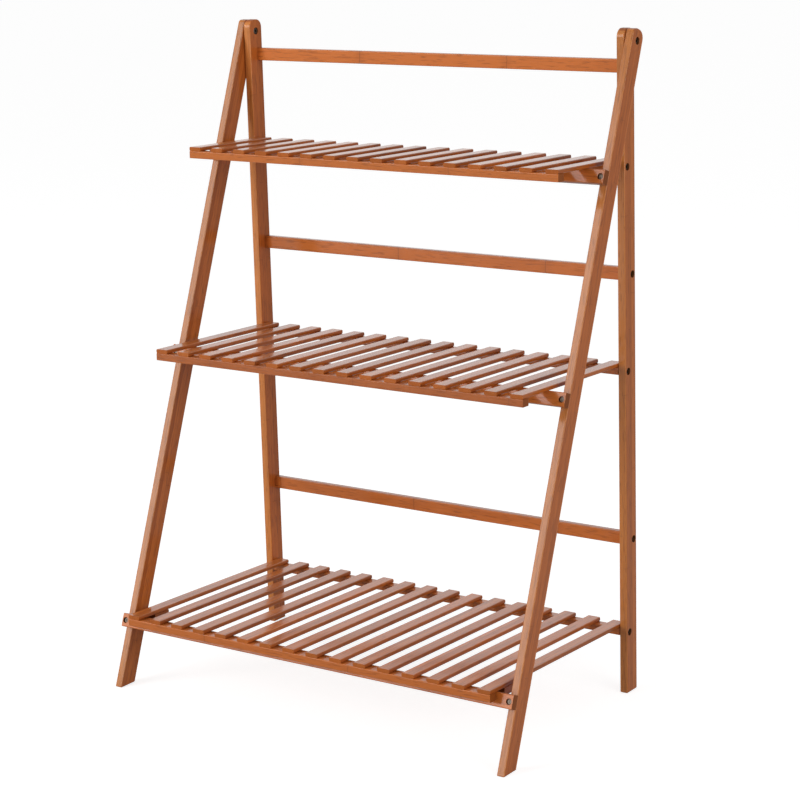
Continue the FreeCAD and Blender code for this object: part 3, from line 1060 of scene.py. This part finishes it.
class PLANTSTAND_OT_hinges(bpy.types.Operator):
    """Set the shelves' pivot screws and the top bolts with their cap nuts"""

    bl_idname = "plant_stand.hinges"
    bl_label = "Hinges"

    def execute(self, context):
        sizes = context.scene.stand_sizes
        head_wide = 2 * (sizes.leg_recess - sizes.head_gap)
        pattern = socket_screw(head_wide, BOLT_HEAD_HIGH, **PIVOT_SHANK)
        for shelf in SHELVES:
            node = shelf + "_pivot_screws"
            places = both_sides(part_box(node)[1].x - BOLT_HEAD_HIGH, SHELF_PIVOT[shelf], -1)
            set_screws(node, shelf + "_shelf", pattern, places)
        bpy.data.objects.remove(pattern)

        nut_low, nut_high = straight_box("top_pivot_nuts", standing(), 1)
        under_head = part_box("top_pivot_bolts")[1].x - BOLT_HEAD_HIGH
        pattern = socket_screw(head_wide, BOLT_HEAD_HIGH, TOP_SHANK_WIDE, under_head - nut_high.x)
        set_screws("top_pivot_bolts", "front_frame", pattern, both_sides(under_head, TOP_PIVOT, -1))
        bpy.data.objects.remove(pattern)

        pattern = socket_screw(head_wide, nut_high.x - nut_low.x, **NUT_STUB)
        set_screws("top_pivot_nuts", "front_frame", pattern, both_sides(nut_high.x, TOP_PIVOT, 1))
        bpy.data.objects.remove(pattern)
        return {"FINISHED"}


# Stage

def seen_and_mirrored(tree):
    """Which rays come straight from the camera, and which by way of a mirroring surface."""
    path = new_node(tree, "LightPath").outputs
    mirrored = calc(tree, "MAXIMUM", path["Is Glossy Ray"], path["Is Transmission Ray"])
    return path["Is Camera Ray"], mirrored


def lay_floor(stage):
    """A matt floor with a glow that only the camera and, faintly, the varnish can see."""
    deselect_all()
    bpy.ops.mesh.primitive_plane_add(size=stage.floor_wide, location=(0, 0, -stage.floor_drop))
    floor = bpy.context.object
    floor.name = "studio_floor"
    settle(floor)
    tree, output = blank_material("studio_floor")
    matt = new_node(tree, "BsdfDiffuse", {"Color": opaque(stage.floor_colour)}).outputs[0]
    seen, mirrored = seen_and_mirrored(tree)
    shown = calc(tree, "MULTIPLY_ADD", mirrored, stage.floor_mirrored, seen)
    glow = new_node(tree, "Emission", {
        "Color": (1, 1, 1, 1), "Strength": calc(tree, "MULTIPLY", shown, stage.floor_glow)}).outputs[0]
    both = new_node(tree, "AddShader", {0: matt, 1: glow}).outputs[0]
    tree.links.new(both, output.inputs[0])
    floor.data.materials.append(bpy.data.materials["studio_floor"])


def light_room(stage):
    """Even light from all around, and a white backdrop for the camera and the varnish."""
    world = bpy.data.worlds.new("studio")
    world.use_nodes = True
    tree = world.node_tree
    tree.nodes.clear()
    output = tree.nodes.new("ShaderNodeOutputWorld")
    seen, mirrored = seen_and_mirrored(tree)
    direction = new_node(tree, "TexCoord").outputs["Generated"]
    heading = stage.camera_turn[0]
    ahead = (-math.sin(heading), math.cos(heading), 0.0)
    behind = new_node(tree, "VectorMath", {0: direction, 1: ahead}, operation="DOT_PRODUCT").outputs["Value"]
    backdrop = calc(tree, "MULTIPLY", mirrored, fade(tree, behind, BACKDROP_EDGE, 0.0, 1.0))
    shown = calc(tree, "MAXIMUM", seen, backdrop)
    strength = calc(tree, "MULTIPLY_ADD", shown, 1.0 - stage.room_light, stage.room_light)
    light = new_node(tree, "Background", {"Color": (1, 1, 1, 1), "Strength": strength}).outputs[0]
    tree.links.new(light, output.inputs[0])
    bpy.context.scene.world = world


def set_lamps(stage):
    """Square soft lamps that face the middle of the stand."""
    for name, lamp in LAMPS.items():
        turn = (LAMP_AIM - Vector(lamp["place"])).to_track_quat("-Z", "Y").to_euler()
        deselect_all()
        bpy.ops.object.light_add(type="AREA", location=lamp["place"], rotation=turn)
        light = bpy.context.object
        light.name = name + "_lamp"
        light.data.energy = getattr(stage, name + "_light")
        light.data.shape = "SQUARE"
        light.data.size = lamp["wide"]
        light.visible_glossy = lamp["mirrored"]


def set_camera(stage):
    """The camera at the photograph's angle."""
    heading, drop, roll = stage.camera_turn
    turn = (
        Matrix.Rotation(heading, 4, "Z")
        @ Matrix.Rotation(math.pi / 2 - drop, 4, "X")
        @ Matrix.Rotation(roll, 4, "Z"))
    deselect_all()
    bpy.ops.object.camera_add(location=stage.camera_at, rotation=turn.to_euler())
    camera = bpy.context.object
    camera.name = "studio_camera"
    camera.data.lens = stage.lens
    camera.data.sensor_width = stage.sensor_wide
    camera.data.shift_x = stage.lens_shift[0]
    camera.data.shift_y = stage.lens_shift[1]
    bpy.context.scene.camera = camera


class PLANTSTAND_OT_stage(bpy.types.Operator):
    """Set the floor, the studio light and the camera"""

    bl_idname = "plant_stand.stage"
    bl_label = "Stage"

    def execute(self, context):
        stage = context.scene.stand_stage
        lay_floor(stage)
        light_room(stage)
        set_lamps(stage)
        set_camera(stage)
        context.scene.view_settings.view_transform = "Standard"
        return {"FINISHED"}


OPERATORS = (
    PLANTSTAND_OT_finishes,
    PLANTSTAND_OT_rear_legs,
    PLANTSTAND_OT_rails,
    PLANTSTAND_OT_front_legs,
    PLANTSTAND_OT_cross_bars,
    PLANTSTAND_OT_battens,
    PLANTSTAND_OT_slats,
    PLANTSTAND_OT_stop_blocks,
    PLANTSTAND_OT_wood_screws,
    PLANTSTAND_OT_hinges,
    PLANTSTAND_OT_stage,
)


class PLANTSTAND_PT_panel(bpy.types.Panel):
    """The stand's operators, in building order"""

    bl_idname = "PLANTSTAND_PT_panel"
    bl_label = "Plant Stand"
    bl_space_type = "VIEW_3D"
    bl_region_type = "UI"
    bl_category = "Plant Stand"

    def draw(self, context):
        for operator in OPERATORS:
            self.layout.operator(operator.bl_idname)


CLASSES = (PlantStandSizes, PlantStandFinish, PlantStandStage) + OPERATORS + (PLANTSTAND_PT_panel,)


def register():
    """Add the operators, the panel and the scene's settings."""
    for cls in CLASSES:
        bpy.utils.register_class(cls)
    bpy.types.Scene.stand_sizes = PointerProperty(type=PlantStandSizes)
    bpy.types.Scene.stand_finish = PointerProperty(type=PlantStandFinish)
    bpy.types.Scene.stand_stage = PointerProperty(type=PlantStandStage)


def unregister():
    """Take them out again."""
    del bpy.types.Scene.stand_stage
    del bpy.types.Scene.stand_finish
    del bpy.types.Scene.stand_sizes
    for cls in reversed(CLASSES):
        bpy.utils.unregister_class(cls)


def main():
    """Build the whole stand."""
    register()
    bpy.ops.plant_stand.finishes()
    bpy.ops.plant_stand.rear_legs()
    bpy.ops.plant_stand.rails()
    bpy.ops.plant_stand.front_legs()
    bpy.ops.plant_stand.cross_bars()
    bpy.ops.plant_stand.battens()
    bpy.ops.plant_stand.slats()
    bpy.ops.plant_stand.stop_blocks()
    bpy.ops.plant_stand.wood_screws()
    bpy.ops.plant_stand.hinges()
    bpy.ops.plant_stand.stage()


if __name__ == "__main__":
    main()
